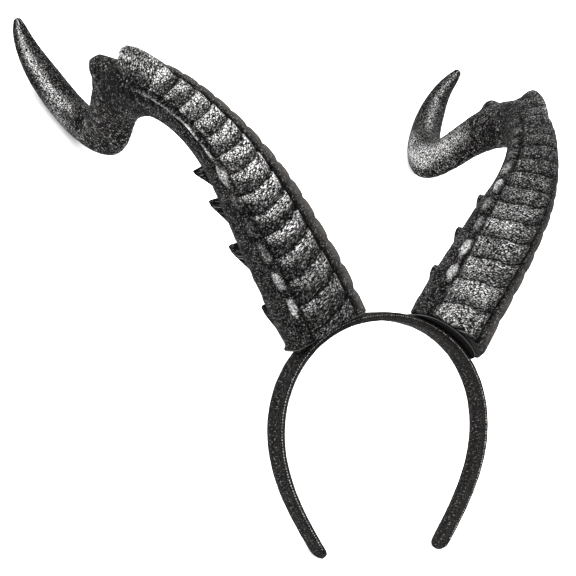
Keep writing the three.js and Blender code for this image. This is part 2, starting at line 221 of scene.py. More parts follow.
# the soft feet and pads settle on the curve of the band: how far down, by the distance along the base
_t = np.linspace(-0.5, 1.4, 240)
_x, _z, _nx, _nz, _l = band_at(_t)
_x, _z = _x + _nx * band_half(_t), _z + _nz * band_half(_t)
SAG_AT = (_x - BX) * BNZ - (_z - BZ) * BNX
SAG = BAND_THICK / 2 - ((_x - BX) * BNX + (_z - BZ) * BNZ)


def sag(e, side):
    return np.interp(e, SAG_AT, SAG) * np.where(np.asarray(e) > 0, 1.0 if side > 0 else 0.25, 1.0)

# ---- horn: sections, root to tip -----------------------------------------------------------
HORN_LEAN = math.radians(33)
HORN_ROOT_X, HORN_ROOT_Z = 37.0, 73.8
BACK_NARROW = 0.15
# back, rise, depth, width, drift, square
HORN = np.array([
    (3.2, -14.0, 14.2, 22.9, -0.9, 2.7),
    (0.6, 23.0, 15.2, 22.3, -0.3, 2.7),
    (-1.0, 46.0, 15.5, 21.0, -0.4, 2.7),
    (-1.4, 68.5, 16.1, 19.2, -0.5, 2.6),
    (-0.9, 87.5, 16.4, 16.4, -0.6, 2.5),
    (4.0, 106.2, 16.2, 13.5, -0.6, 2.4),
    (13.6, 123.8, 14.9, 11.9, -1.0, 2.3),
    (31.9, 141.3, 14.1, 11.7, -2.8, 2.2),
    (51.9, 147.5, 15.0, 11.7, -4.0, 2.1),
    (74.6, 145.6, 15.2, 10.6, -4.2, 2.0),
    (94.0, 135.9, 14.6, 9.2, -4.4, 2.0),
    (112.5, 129.6, 13.6, 8.6, -4.7, 2.0),
    (129.5, 137.6, 12.2, 9.0, -4.7, 2.0),
    (141.4, 156.0, 10.4, 9.0, -4.4, 2.0),
    (147.0, 176.4, 8.0, 7.7, -4.3, 2.0),
    (146.0, 191.2, 5.5, 5.4, -4.1, 2.0),
    (142.2, 199.0, 3.8, 3.7, -4.0, 2.0),
    (140.9, 201.2, 2.8, 2.8, -3.9, 2.0),
    (139.9, 203.0, 1.6, 1.6, -3.8, 2.0),
])
ALONG = np.concatenate([[0], np.cumsum(np.hypot(np.diff(HORN[:, 0]), np.diff(HORN[:, 1])))])
LENGTH = float(ALONG[-1])
COLUMN = [Spline(ALONG, HORN[:, k]) for k in range(6)]


def steps(first, pitch, shrink, least, count):
    at, gap = [first], []
    for _ in range(count):
        gap.append(pitch)
        at.append(at[-1] + pitch)
        pitch = max(least, pitch * shrink)
    return np.array(at[:count]), np.array(gap)


RING_FIRST, RING_PITCH, RING_LEAST, RING_DEPTH = 23.0, 14.8, 9.3, 1.5
GROOVES, _ = steps(RING_FIRST, RING_PITCH, 0.93, RING_LEAST, 14)
RING_END = float(GROOVES[-1])
EDGES = np.concatenate([[RING_FIRST - RING_PITCH], GROOVES, [RING_END + RING_LEAST]])
BEADS, BEAD_GAPS = steps(39.0, 15.2, 0.955, 0.0, 10)

# ringed face of each horn, as in the solids: nodule row and channel angles along the horn, and
# how far the grooves run towards the tip from the channel side to the nodule side
FACE_ALONG = (20, 40, 60, 84, 98, 130, 170)
FACE_LEFT = dict(
    turned=-1, beads=(45, 45, 48, 53, 62, 65, 66), rim=(30, 28, 23, 21, 20, 17, 16),
    at=(-120, -40, -22, -5, 13, 30, 50, 90, 150), sweep=(0, 6.5, 4.6, 1.6, 0, 0.2, 1.2, 2, 0), left=0.8)
FACE_RIGHT = dict(
    turned=1, beads=(57, 59, 66, 75, 85, 90, 90), rim=(24, 27, 31, 29, 30, 34, 36),
    at=(-120, -40, -25, -5, 10, 30, 50, 90, 150), sweep=(0, 16, 13, 8, 5, 1.7, 0, 0.5, 0), left=0.55)

# along, run, round (degrees, + is inward), height, thick, crest
THORNS = [
    (181, 22, 0, 8.5, 17, 0.16), (209.5, 19, 0, 9.0, 16, 0.2),
    (43, 18, 140, 5.0, 5, 0.45), (70, 18, 140, 5.0, 5, 0.45), (94, 16, 140, 4.5, 4.5, 0.45),
    (36, 22, -140, 6.0, 5, 0.45), (72, 20, -140, 7.5, 5, 0.45), (98, 18, -140, 7.0, 5, 0.45), (120, 15, -140, 6.5, 4.5, 0.45),
]


def horn_place(back, rise, side):
    sl, cl = math.sin(HORN_LEAN), math.cos(HORN_LEAN)
    return np.stack([-HORN_ROOT_X - rise * sl + side * cl, back, HORN_ROOT_Z + rise * cl + side * sl], -1)


def skin(u, a):
    """Smooth skin of the image-left horn."""
    (back, db), (rise, dr), (depth, _), (width, _), (drift, _), (square, _) = (c(u) for c in COLUMN)
    l = np.hypot(db, dr)
    fb, fr = -dr / l, db / l
    c, s, e = np.cos(a), np.sin(a), 2 / square
    cf, sf = np.sign(c) * np.abs(c) ** e, np.sign(s) * np.abs(s) ** e
    f = cf * depth
    w = sf * width * np.where(cf > 0, 1.0, 1 + BACK_NARROW * cf)
    return horn_place(back + f * fb, rise + f * fr, w + drift)


def above_base(p):
    return (-p[..., 0] - BX) * BNX + (p[..., 2] - BZ) * BNZ - HORN_LOW


def ring_cell(v):
    """Which ring v is in, how far through it from 0 to 1, and the distance to its nearer groove."""
    k = np.clip(np.searchsorted(EDGES, v, side="right") - 1, 0, len(EDGES) - 2)
    lo, hi = EDGES[k], EDGES[k + 1]
    x = np.clip((v - lo) / (hi - lo), 0, 1)
    return k, x, np.minimum(np.abs(v - lo), np.abs(hi - v))


def carried(look, v, deg):
    """How far ring row v is carried towards the tip at an angle round the face."""
    most = np.interp(deg, look["at"], look["sweep"]) * (1 + (look["left"] - 1) * smooth(v, 80, 105))
    return most * smooth(v, 0, 22) * (1 - smooth(v, RING_END, RING_END + 34))


def horn_mesh(side):
    """Points, faces and fields of one horn; side -1 is image left, +1 image right."""
    look = FACE_LEFT if side < 0 else FACE_RIGHT
    turned = look["turned"]

    def column_weight(a):
        d = np.degrees(a) * turned
        w = 1.0 + 0.8 * smooth(d, -60, -45) * (1 - smooth(d, 100, 115))
        return w + 0.9 * bell(np.abs(a), math.radians(140), 0.16)

    angles = spread(-math.pi, math.pi, 181, column_weight)[:-1]
    around = np.degrees(angles) * turned

    # ring row at which each column leaves the flat base
    lo, hi = np.zeros_like(angles), np.full_like(angles, 60.0)
    for _ in range(40):
        mid = (lo + hi) / 2
        below = above_base(skin(mid + carried(look, mid, around), angles)) < 0
        lo, hi = np.where(below, mid, lo), np.where(below, hi, mid)
    first = lo
    start = float(first.mean())

    def row_weight(v):
        w = np.ones_like(v)
        for g in GROOVES:
            w += 1.0 * bell(v, g, 1.1)
        for t in THORNS:
            w += 0.8 * bell(v, t[0] + 0.06 * t[1], 1.6)
        return w + 2.5 * bell(v, start, 1.5) + 0.5 * smooth(v, 300, LENGTH)

    rows = spread(start, LENGTH - 2.2, 500, row_weight)
    A = np.broadcast_to(angles, (len(rows), len(angles))).copy()
    V = np.broadcast_to(around, A.shape).copy()
    fade = 1 - smooth(rows, start, start + 28)
    R = rows[:, None] + (first - start)[None, :] * fade[:, None]
    U = np.minimum(R + carried(look, R, V), LENGTH)

    base = skin(U, A)
    du = np.gradient(base, axis=0)
    da = np.roll(base, -1, 1) - np.roll(base, 1, 1)
    normal = np.cross(da, du)
    normal /= np.linalg.norm(normal, axis=-1, keepdims=True) + 1e-9
    if ((base - base.mean(1, keepdims=True)) * normal).sum() < 0:
        normal = -normal

    depth, width = COLUMN[2](U)[0], COLUMN[3](U)[0]
    radius = (depth + width) / 2
    deg = np.abs(np.degrees(A))
    arc = A * radius
    # straightened horn, for grain that follows it without a seam
    grain = np.stack([R + (0 if side < 0 else 631.0), radius * np.cos(A), radius * np.sin(A)], -1)

    bead = np.interp(R, FACE_ALONG, look["beads"])
    rim = -np.interp(R, FACE_ALONG, look["rim"])
    size = 1 - 0.35 * smooth(R, 60, 170)
    k, x, near = ring_cell(R)
    grooved = np.where((k == 0) & (x < 0.5), 0.0, 1.0)
    ringed = smooth(R, 8, 13) * (1 - smooth(R, RING_END - 1, RING_END + 6))
    blot = cloud(grain, 9.0, 31)
    ragged = V + 7.0 * (cloud(grain, 5.0, 33) - 0.5)
    face = smooth(ragged, rim - 0.5, rim + 5) * (1 - smooth(ragged, bead - 15, bead - 6)) * ringed
    coarse = cloud(grain, 2.1, 21) - 0.5
    fine = cloud(grain, 1.2, 22) - 0.5

    # plates: each lifts towards its upper shoulder and drops into a thin groove
    lift = 0.58 + 0.42 * smooth(x, 0.0, 0.8)
    lift = np.where((k == 0) & (x < 0.6), 0.95, lift)
    wall = 1 - bell(near + 0.5 * coarse, 0, 0.62) * grooved
    D = face * size * RING_DEPTH * (1.2 * lift * wall - 1.05) * (1.0 if side < 0 else 0.7)

    # channels on both sides of the plates, and the smooth scalloped rim beyond the right-hand one
    dip = grooved * np.abs(2 * x - 1) ** 4
    gutter, gutter2 = bell(V, rim, 3.4), bell(V, bead - 11, 3.2)
    D -= ringed * size * (1.0 * gutter + 0.6 * gutter2)
    D += ringed * size * 1.6 * (1 - 0.9 * dip) * bell(V, rim - 24, 13)

    # nodules: rounded and regular on one horn, lower and uneven on the other
    knob, shine = np.zeros_like(U), np.zeros_like(U)
    # glow and shine: silver on the nodule tops plus a painted highlight, set nodule by nodule, and on the image-left
    # horn along the crest of its upper ridge
    glow = (0.9, 0.7, 0.45, 0.35, 0.35, 0.8, 0.7, 0.6, 0.6, 0.6) if side < 0 else (0.95, 0.9, 0.4, 0.5, 0.85, 0.6, 0.42, 0.35, 0.3, 0.25)
    low, high = (0.55, 1.0) if side < 0 else (0.9, 1.15)
    for i, (u0, gap) in enumerate(zip(BEADS, BEAD_GAPS)):
        jut, off, slim = (float(lattice(np.int64(i), np.int64(q), np.int64(side + 4), 7)) for q in (1, 2, 3))
        half_u, half_v = gap * (0.40 + 0.12 * slim), 8.0 + 3.0 * slim
        shape = 1 - ((R - u0) / half_u) ** 2 - ((V - bead - 3.0 * (off - 0.5)) / half_v) ** 2 + 0.7 * coarse
        bump = np.sqrt(np.maximum(0, shape))
        knob = np.maximum(knob, (low + (high - low) * jut) * bump)
        shine = np.maximum(shine, glow[i] * bump)
    if side < 0:
        ridge = smooth(R, 104, 124) * (1 - smooth(R, 168, 178))
        crest = bell(V + 3.0 * (blot - 0.5), bead, 3.0)
        knob = knob * (1 - 0.75 * ridge) + ridge * 0.6 * crest
        shine = shine * (1 - ridge) + ridge * (0.3 + 1.0 * blot) * crest
    knob = knob * ringed
    D += 2.5 * size * knob

    # rope-like folds that sweep from the nodules to the back, fainter on the other flank
    past = np.where(V > 0, V - bead, -(V - rim) - 30)
    folded = R + 0.42 * np.clip(past - 2, 0, 60)
    _, xq, _ = ring_cell(folded - 4.0)
    fold = (0.25 + xq**1.2) * (1 - smooth(xq, 0.84, 1.0)) + 0.25 * smooth(xq, 0.9, 1.0)
    flank = smooth(past, 4, 12) * (1 - smooth(deg, 100, 120)) * ringed * np.where(V > 0, 1.0, 0.5)
    D += 1.1 * size * flank * (fold - 0.35)

    # thin lips along the back corners
    lips = smooth(U, 14, 30) * (1 - smooth(U, 185, 215))
    D += lips * (0.55 * bell(deg, 117, 2.2) + 0.45 * bell(deg, 125, 2.0) - 0.45 * bell(deg, 121, 2.4))

    # thorns: fins with a blunt end on the back corners, two broad spikes on top
    thorn, sharp = np.zeros_like(U), np.zeros_like(U)
    for t_along, t_run, t_round, t_high, t_thick, t_crest in THORNS:
        slip = 0.0  # the two castings differ a little
        if t_round == 0:
            slip = (2.2 if t_along > 200 else 1.0) * (0.8 if side > 0 else -1)
            if t_along > 200:
                t_run = 12 if side > 0 else 15
        xt = (U - slip - (t_along - t_run)) / t_run
        if side > 0 and t_round == 0 and t_along < 200:
            out = np.interp(xt, [0.0, 0.06, 0.3, 0.85, 1.0, 1.06, 1.2, 1.4, 1.6], [0.0, 0.03, 0.30, 0.92, 1.0, 0.90, 0.55, 0.22, 0.0])
        elif t_along > 200:  # the last spike falls away in a long slope
            out = np.interp(xt, [0.0, 0.06, 0.3, 0.85, 1.0, 1.04, 1.3, 1.6, 1.9], [0.0, 0.03, 0.30, 0.92, 1.0, 0.94, 0.52, 0.20, 0.0])
        elif t_round > 0:  # blunt tabs
            out = np.interp(xt, [0.0, 0.25, 0.5, 0.75, 0.9, 1.02, 1.12, 1.15], [0.0, 0.08, 0.42, 0.9, 1.0, 0.92, 0.15, 0.0])
        elif t_round < 0:  # fins with a blunt end
            out = np.interp(xt, [0.0, 0.06, 0.3, 0.72, 0.84, 1.0, 1.03, 1.13, 1.16], [0.0, 0.03, 0.32, 0.86, 0.97, 1.0, 0.93, 0.10, 0.0])
        else:
            out = np.interp(xt, [0.0, 0.06, 0.3, 0.85, 1.0, 1.02, 1.12, 1.15], [0.0, 0.03, 0.30, 0.92, 1.0, 0.96, 0.10, 0.0])
        wide = np.interp(xt, [0.0, 0.3, 0.85, 1.0, 1.15], [0.5, 0.85, 1.0, 0.9, 0.75])
        r = np.hypot(depth, width) / math.sqrt(2)
        away = np.abs((A - math.radians(t_round) + math.pi) % (2 * math.pi) - math.pi)
        slim = 0.7 if side > 0 and t_round == 0 else 1.0
        q = away / (t_thick * slim / 2 * wide / r)
        lat = np.interp(q, [0.0, t_crest, 1.0, 1.25], [1.0, 1.0, 0.25, 0.0])
        thorn = np.maximum(thorn, t_high * (1.12 if slim < 1 else 1.0) * out * lat)
        if t_round == 0:
            sharp = np.maximum(sharp, lat * smooth(xt, -0.2, 0.2) * (1 - smooth(xt, 1.15, 1.3)))
    D = D * (1 - smooth(thorn, 0.0, 1.0)) + thorn
    ahead = du / (np.linalg.norm(du, axis=-1, keepdims=True) + 1e-9)

    # fine wrinkles of the upper rings, neck and hook, and pebbling everywhere
    neck = smooth(U, RING_END - 8, RING_END + 6) * (1 - smooth(U, 262, 285))
    slant = np.stack([U + 0.45 * np.abs(arc), arc / 4.0, np.zeros_like(U) + 3.3 * side], -1)
    D += 0.36 * neck * (1 - 0.7 * sharp) * (cloud(slant, 1.7, 11) - 0.5)
    lines = np.stack([R, arc / 9.0, np.zeros_like(U) + 7.7 * side], -1)
    D += 0.30 * face * smooth(R, 100, 130) * (cloud(lines, 1.5, 12) - 0.5)
    rough = (0.45 + 0.55 * np.maximum(face, np.clip(knob, 0, 1))) * (1 - 0.75 * sharp)
    D += rough * (0.20 * coarse + 0.20 * fine)
    D += 0.4 * (cloud(grain, 17.0, 23) - 0.5)

    # soft edge round the base
    rise = R - first[None, :]
    edge = np.clip(1 - rise / 1.4, 0, 1)
    D -= 1.3 * (1 - np.sqrt(np.maximum(0, 1 - edge**2)))
    D = np.where(rise < 0.02, -1.3, D)

    P = base + normal * D[..., None] + ahead * (0.35 * thorn * (1 - smooth(U, 186, 196)))[..., None]
    # the first row stays in the base plane
    P[0] -= above_base(P[0])[:, None] * np.array([-BNX, 0.0, BNZ])

    # ---- silver and painted light: how much silver the brush left, with painted highlights and painted shade added to it
    t_end = np.clip((V - rim) / np.maximum(bead - 10 - rim, 1), 0, 1)  # 0 at the channel, 1 at the nodules
    # painted light and shade: the image-left horn's plates are painted brighter towards the top, the image-right horn's
    # darker towards the top and towards its channel side
    if side < 0:
        low_x, least, most = 0.08 + 0.46 * t_end, 0.085, 0.31
        painted_light_gain = 0.56 + 1.15 * smooth(R, 40, 130)
    else:
        low_x, least, most = 0.10 * t_end, 0.13, 0.16
        painted_light_gain = (1.15 - 0.77 * smooth(R, 35, 130)) * (0.30 + 0.70 * smooth(t_end, 0.0, 0.45))
    # upper shoulder of each plate: silver the brush leaves on the raised edge, plus a painted highlight, which on the
    # image-left horn is strongest at the channel end
    upper = smooth(x, low_x, low_x + 0.50) * (1 - 0.6 * smooth(x, 0.92, 1.0))
    upper = np.where((k == 0) & (x < 0.5), 0.6 if side > 0 else 0.1, upper)
    upper = np.where((k == 0) & (x >= 0.5) & (side < 0), 0.6 * upper, upper)
    silver_and_painted_light = 0.065 + 0.05 * (blot - 0.5)
    silver_and_painted_light = silver_and_painted_light + face * (least + most * upper) * painted_light_gain * (0.65 + 0.6 * blot)
    silver_and_painted_light = silver_and_painted_light + (0.06 if side < 0 else 0.10) * flank * fold * (V > 0)
    beaded = smooth(knob, 0.15, 0.75)
    # painted highlight on the nodules, on top of their silver
    silver_and_painted_light = np.maximum(silver_and_painted_light, 0.48 * shine * (0.75 + 0.45 * blot))
    silver_and_painted_light = np.where(flank > 0.2, np.minimum(silver_and_painted_light, 0.6 * shine + 0.11 + 0.22 * fold * flank), silver_and_painted_light)
    silver_and_painted_light = np.where((V < rim) & (ringed > 0.5), np.minimum(silver_and_painted_light, 0.13), silver_and_painted_light)
    claw = smooth(U, 262, 292)
    hook = smooth(U, 222, 262) * (1 - smooth(U, 285, 300))
    # painted highlight: a bright stripe along the middle of each claw's side, strong on the image-left horn
    silver_and_painted_light = silver_and_painted_light + claw * ((0.62 if side < 0 else 0.20) * bell(V, 34, 15) + 0.12 * bell(V, 34, 40)) * (0.7 + 0.5 * blot)
    if side < 0:
        silver_and_painted_light = silver_and_painted_light + hook * bell(V, 80, 50) * 0.24 * smooth(blot, 0.2, 0.8)
    else:
        # painted highlight on one side of the image-right horn's hook, growing towards its end
        elbow = (0.45 * smooth(U, 204, 226) + 0.55 * smooth(U, 226, 254)) * (1 - smooth(U, 266, 290))
        silver_and_painted_light = silver_and_painted_light + elbow * bell(V, 112, 34) * 0.62 * (0.45 + 1.0 * blot)
    # painted highlight on one facet of the first spike, strong on the image-left horn
    silver_and_painted_light = silver_and_painted_light + sharp * bell(deg, 24, 30) * (0.46 if side < 0 else 0.10) * (0.6 + 0.7 * blot) * smooth(U, 158, 166) * (1 - smooth(U, 184, 192))
    silver_and_painted_light = silver_and_painted_light + 0.02 * neck * smooth(blot, 0.4, 0.8)
    # painted shade: the fins are darkened, to a darker grey on the image-left horn than on the image-right one
    fin = smooth(thorn, 0.6, 2.0) * (1 - smooth(U, 150, 160))
    silver_and_painted_light = np.clip(silver_and_painted_light * (1 - 0.7 * fin) + (0.10 if side > 0 else 0.05) * fin, 0, 1)
    bare = (1 - np.clip(2 * knob, 0, 1)) * ringed
    shade = np.clip((1.0 if side < 0 else 0.75) * face * bell(near, 0, 0.42) * grooved + bare * (bell(V, rim, 3.0) + 0.8 * bell(V, bead - 11, 2.6)), 0, 1)
    shade = np.maximum(shade, 0.8 * flank * bell(xq, 0.97, 0.06))
    shade = np.maximum(shade, 0.62 * neck * (1 - sharp) * (1 - smooth(U, 200, 226)) * smooth(blot, 0.15, 0.6))
    speckle = np.clip(0.35 + 0.65 * np.maximum(np.maximum(face, knob), np.maximum(claw, 0.8 * neck)), 0, 1)
    speckle = speckle * (1 - 0.6 * sharp)
    net = 1 - 0.3 * beaded
    lined = neck * (1 - 0.7 * sharp)
    # lighter grey body along the smooth rim beyond the channel
    rim_grey = ringed * (1 - 0.6 * dip) * bell(V, rim - 20, 11) * smooth(R, 6, 18)

    nr, nc = U.shape
    pts = P.reshape(-1, 3)
    faces = grid_faces(nr, nc)
    fields = {"silver_and_painted_light": silver_and_painted_light.ravel(), "shade": shade.ravel(), "speckle": speckle.ravel(), "rim_grey": rim_grey.ravel(), "net": net.ravel(), "lined": lined.ravel(), "grain": grain.reshape(-1, 3)}

    # close the tip with a small dome and the base with two flat rings
    extra, extra_from = [], []
    tip_mid = P[-1].mean(0)
    tip_dir = P[-1].mean(0) - P[-4].mean(0)
    tip_dir /= np.linalg.norm(tip_dir)
    tip_r = np.linalg.norm(P[-1] - tip_mid, axis=1).mean()
    count = len(pts)
    last = (nr - 1) * nc
    for step in (0.25, 0.5, 0.75):
        ring = tip_mid + (P[-1] - tip_mid) * math.cos(step * math.pi / 2) + tip_dir * tip_r * math.sin(step * math.pi / 2)
        extra.append(ring)
        extra_from.append(np.arange(last, last + nc))
        for j in range(nc):
            n = (j + 1) % nc
            faces.append([last + j, last + n, count + n, count + j] if step < 0.5 else [count - nc + j, count - nc + n, count + n, count + j])
        count += nc
    extra.append((tip_mid + tip_dir * tip_r)[None, :])
    extra_from.append(np.array([last]))
    for j in range(nc):
        faces.append([count - nc + j, count - nc + (j + 1) % nc, count])
    count += 1
    base_mid = P[0].mean(0)
    base_mid -= above_base(base_mid[None])[0] * np.array([-BNX, 0.0, BNZ])
    for i, s in enumerate((0.7, 0.35)):
        extra.append(base_mid + (P[0] - base_mid) * s)
        extra_from.append(np.arange(nc))
        for j in range(nc):
            n = (j + 1) % nc
            faces.append([n, j, count + j, count + n] if i == 0 else [count - nc + n, count - nc + j, count + j, count + n])
        count += nc
    extra.append(base_mid[None])
    extra_from.append(np.array([0]))
    for j in range(nc):
        faces.append([count - nc + (j + 1) % nc, count - nc + j, count])
    pts = np.vstack([pts] + extra)
    pick = np.concatenate(extra_from)
    fields = {n: np.concatenate([v, v[pick]]) for n, v in fields.items()}
    # the foot follows the band
    e_foot = (-pts[:, 0] - BX) * BNZ - (pts[:, 2] - BZ) * BNX
    down = sag(e_foot, side) * (1 - smooth(above_base(pts), 0.0, 24.0))
    pts = pts - down[:, None] * np.array([-BNX, 0.0, BNZ])
    if side > 0:
        pts = pts * (-1.0, 1.0, 1.0)
    return pts, facing_out(pts - pts.mean(0), faces), fields


# ---- materials -----------------------------------------------------------------------------
def new_material(name):
    m = bpy.data.materials.new(name)
    m.use_nodes = True
    t = m.node_tree
    t.nodes.clear()
    out = t.nodes.new("ShaderNodeOutputMaterial")
    bsdf = t.nodes.new("ShaderNodeBsdfPrincipled")
    t.links.new(bsdf.outputs[0], out.inputs[0])
    return m, t, bsdf


class Net:
    """Short ways to add shader nodes."""

    def __init__(self, tree):
        self.t = tree

    def put(self, socket, value):
        if isinstance(value, bpy.types.NodeSocket):
            self.t.links.new(value, socket)
        else:
            socket.default_value = value

    def field(self, name, vector=False):
        n = self.t.nodes.new("ShaderNodeAttribute")
        n.attribute_name = name
        return n.outputs["Vector" if vector else "Fac"]

    def math(self, op, a, b=0.0, c=0.0, clamp=False):
        n = self.t.nodes.new("ShaderNodeMath")
        n.operation, n.use_clamp = op, clamp
        for s, v in zip(n.inputs, (a, b, c)):
            self.put(s, v)
        return n.outputs[0]

    def scale(self, vector, amounts):
        n = self.t.nodes.new("ShaderNodeVectorMath")
        n.operation = "MULTIPLY"
        self.put(n.inputs[0], vector)
        n.inputs[1].default_value = amounts
        return n.outputs[0]

    def add(self, a, b):
        n = self.t.nodes.new("ShaderNodeVectorMath")
        n.operation = "ADD"
        self.put(n.inputs[0], a)
        self.put(n.inputs[1], b)
        return n.outputs[0]

    def noise(self, vector, scale, detail=2.0, rough=0.5, colour=False):
        n = self.t.nodes.new("ShaderNodeTexNoise")
        self.put(n.inputs["Vector"], vector)
        n.inputs["Scale"].default_value = scale
        n.inputs["Detail"].default_value = detail
        n.inputs["Roughness"].default_value = rough
        return n.outputs["Color" if colour else "Fac"]

    def cells(self, vector, scale, feature="DISTANCE_TO_EDGE"):
        n = self.t.nodes.new("ShaderNodeTexVoronoi")
        n.feature = feature
        self.put(n.inputs["Vector"], vector)
        n.inputs["Scale"].default_value = scale
        return n.outputs["Distance"]

    def ramp(self, x, lo, hi, out_lo=0.0, out_hi=1.0, soft=True):
        n = self.t.nodes.new("ShaderNodeMapRange")
        n.interpolation_type = "SMOOTHSTEP" if soft else "LINEAR"
        for s, v in zip(n.inputs, (x, lo, hi, out_lo, out_hi)):
            self.put(s, v)
        return n.outputs[0]

    def mix(self, fac, a, b):
        n = self.t.nodes.new("ShaderNodeMix")
        n.data_type = "RGBA"
        self.put(n.inputs[0], fac)
        for s, v in ((n.inputs[6], a), (n.inputs[7], b)):
            self.put(s, v if isinstance(v, bpy.types.NodeSocket) else (*v, 1.0))
        return n.outputs[2]

    def bump(self, height, strength, distance, normal=None):
        n = self.t.nodes.new("ShaderNodeBump")
        n.inputs["Strength"].default_value = strength
        n.inputs["Distance"].default_value = distance
        self.put(n.inputs["Height"], height)
        if normal is not None:
            self.put(n.inputs["Normal"], normal)
        return n.outputs[0]


def horn_material():
    m, t, b = new_material("silver_brushed_foam")
    n = Net(t)
    silver_and_painted_light, shade, speckle = n.field("silver_and_painted_light"), n.field("shade"), n.field("speckle")
    co = n.field("grain", True)
    wobble = n.scale(n.noise(co, 0.9, 3.0, colour=True), (1.6, 1.6, 1.6))
    worm = n.scale(n.add(co, wobble), (1.0, 0.62, 0.62))
    crack = n.ramp(n.cells(worm, 1.12), 0.06, 0.23)
    vein = n.ramp(n.math("ABSOLUTE", n.math("SUBTRACT", n.noise(worm, 0.8, 3.0, 0.6), 0.5)), 0.0, 0.045)
    pebble = n.math("MULTIPLY", crack, n.math("ADD", 0.3, n.math("MULTIPLY", vein, 0.7)))
    pebble = n.math("SUBTRACT", 1.0, n.math("MULTIPLY", n.math("SUBTRACT", 1.0, pebble), n.field("net")))
    fleck = n.noise(n.scale(co, (1.0, 0.7, 0.7)), 1.75, 3.0, 0.65)
    patch = n.noise(co, 0.5, 2.0, 0.5)
    # brush: every pebble takes some silver, the net of cracks between them stays black
    swing = n.math("ADD", n.math("MULTIPLY", n.math("SUBTRACT", fleck, 0.5), 4.2), n.math("MULTIPLY", n.math("SUBTRACT", patch, 0.5), 1.4))
    tone = n.math("MULTIPLY", silver_and_painted_light, n.math("ADD", 1.0, swing))
    amount = n.ramp(tone, 0.08, 0.66)
    hit = n.math("MULTIPLY", pebble, n.math("SUBTRACT", 1.0, n.math("MULTIPLY", shade, 0.96)))
    body = n.mix(n.ramp(n.noise(co, 0.12, 3.0), 0.3, 0.7), (0.0010, 0.00095, 0.00095), (0.0024, 0.0022, 0.0021))
    body = n.mix(n.field("rim_grey"), body, (0.036, 0.033, 0.031))
    body = n.mix(shade, body, (0.0010, 0.0010, 0.0010))
    thin = n.ramp(n.noise(n.scale(n.add(co, wobble), (1.0, 0.7, 0.7)), 1.15, 2.0, 0.6), 0.46, 0.62)
    ridge = n.noise(n.scale(n.add(co, n.scale(wobble, (0.5, 0.5, 0.5))), (1.25, 0.6, 0.6)), 0.50, 1.0, 0.6)
    lines = n.ramp(n.math("ABSOLUTE", n.math("SUBTRACT", ridge, 0.53)), 0.004, 0.045, 1.0, 0.0)
    thin = n.math("ADD", thin, n.math("MULTIPLY", n.field("lined"), n.math("SUBTRACT", lines, thin)))
    bright = n.mix(n.field("lined"), (0.13, 0.127, 0.125), (0.42, 0.412, 0.405))
    faint = n.mix(thin, (0.0012, 0.0012, 0.0012), bright)
    faint = n.mix(n.math("MULTIPLY", n.field("rim_grey"), 0.8), faint, (0.070, 0.066, 0.063))
    silver = n.mix(amount, faint, (0.74, 0.736, 0.73))
    n.put(b.inputs["Base Color"], n.mix(hit, body, silver))
    n.put(b.inputs["Roughness"], n.math("ADD", n.ramp(amount, 0.0, 1.0, 0.56, 0.32), n.math("MULTIPLY", fleck, 0.10)))
    n.put(b.inputs["Metallic"], n.math("MULTIPLY", n.math("MULTIPLY", hit, amount), 0.55))
    b.inputs["Specular IOR Level"].default_value = 0.012
    relief = n.math("ADD", n.math("MULTIPLY", pebble, 0.8), n.math("MULTIPLY", fleck, 0.5))
    relief = n.math("MULTIPLY", relief, n.math("ADD", 0.25, n.math("MULTIPLY", speckle, 0.75)))
    n.put(b.inputs["Normal"], n.bump(relief, 0.75, 0.0004))
    return m


def band_material():
    m, t, b = new_material("band_fabric")
    n = Net(t)
    co = n.field("weave", True)
    inner_bounce = n.field("inner_bounce")
    tex = t.nodes.new("ShaderNodeTexWave")
    tex.bands_direction = "X"
    n.put(tex.inputs["Vector"], co)
    tex.inputs["Scale"].default_value = 0.62
    tex.inputs["Distortion"].default_value = 1.2
    tex.inputs["Detail"].default_value = 1.0
    tey = t.nodes.new("ShaderNodeTexWave")
    tey.bands_direction = "Y"
    n.put(tey.inputs["Vector"], co)
    tey.inputs["Scale"].default_value = 0.62
    tey.inputs["Distortion"].default_value = 1.2
    tey.inputs["Detail"].default_value = 1.0
    weave = n.math("MULTIPLY", n.math("ADD", tex.outputs["Fac"], tey.outputs["Fac"]), 0.5)
    mottle = n.noise(co, 0.45, 4.0, 0.65)
    glint = n.ramp(n.noise(co, 1.1, 2.0, 0.7), 0.56, 0.68)
    base = n.mix(n.ramp(mottle, 0.35, 0.68), (0.0010, 0.0010, 0.0012), (0.0070, 0.0066, 0.0066))
    # painted brownish reflection on the inner face
    base = n.mix(n.math("MULTIPLY", inner_bounce, 0.6), base, (0.0075, 0.0068, 0.0064))
    base = n.mix(n.math("MULTIPLY", glint, 0.8), base, (0.15, 0.144, 0.139))
    n.put(b.inputs["Base Color"], base)
    n.put(b.inputs["Roughness"], n.ramp(mottle, 0.2, 0.8, 0.86, 0.66))
    b.inputs["Specular IOR Level"].default_value = 0.03
    height = n.math("ADD", n.math("MULTIPLY", weave, 0.6), n.math("MULTIPLY", mottle, 0.8))
    n.put(b.inputs["Normal"], n.bump(height, 0.6, 0.0003))
    return m


def thread_material():
    m, t, b = new_material("seam_thread")
    n = Net(t)
    co = n.field("weave", True)
    tone = n.noise(co, 0.35, 3.0, 0.7)
    n.put(b.inputs["Base Color"], n.mix(n.math("MULTIPLY", n.ramp(tone, 0.42, 0.66), n.field("lit")), (0.02, 0.019, 0.018), (0.52, 0.50, 0.47)))
    n.put(b.inputs["Roughness"], n.ramp(tone, 0.2, 0.8, 0.7, 0.5))
    twist = n.noise(co, 3.0, 2.0)
    n.put(b.inputs["Normal"], n.bump(twist, 0.4, 0.0001))
    return m


